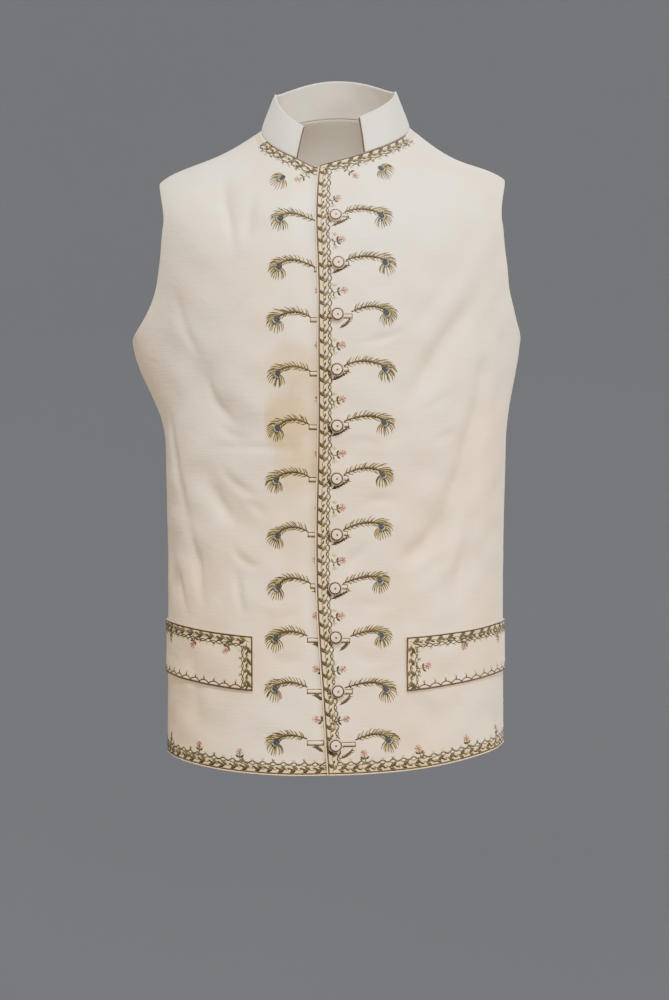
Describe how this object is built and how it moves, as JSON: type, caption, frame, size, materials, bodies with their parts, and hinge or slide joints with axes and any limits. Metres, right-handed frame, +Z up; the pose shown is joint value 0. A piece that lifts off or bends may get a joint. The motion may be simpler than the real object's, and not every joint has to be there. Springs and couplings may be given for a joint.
{
  "type": "embroidered waistcoat",
  "caption": "Sleeveless waistcoat with a short standing collar, buttoned front, pocket welts and square hem, hollow as worn.",
  "frame": {"origin": "midway between the side neck points, level with them, where the shoulders hold the garment up", "axes": "+Z up, -Y the way the front faces, +X towards the wearer's left"},
  "size_m": [0.4043, 0.2399, 0.7202],
  "materials": {
    "ivory_silk": "woven silk with a soft sheen, embroidered in coloured silks",
    "back_cloth": "plain woven linen, matt",
    "collar_silk": "plain woven silk with a soft sheen",
    "button_silk": "silk-covered button with an embroidered ring"
  },
  "bodies": {
    "root": {"front_left": "ivory_silk", "front_right": "ivory_silk", "back": "back_cloth", "collar": "collar_silk", "welt_left": "ivory_silk", "welt_right": "ivory_silk", "button_01": "button_silk", "button_02": "button_silk", "button_03": "button_silk", "button_04": "button_silk", "button_05": "button_silk", "button_06": "button_silk", "button_07": "button_silk", "button_08": "button_silk", "button_09": "button_silk", "button_10": "button_silk", "button_11": "button_silk"}
  },
  "joints": []
}
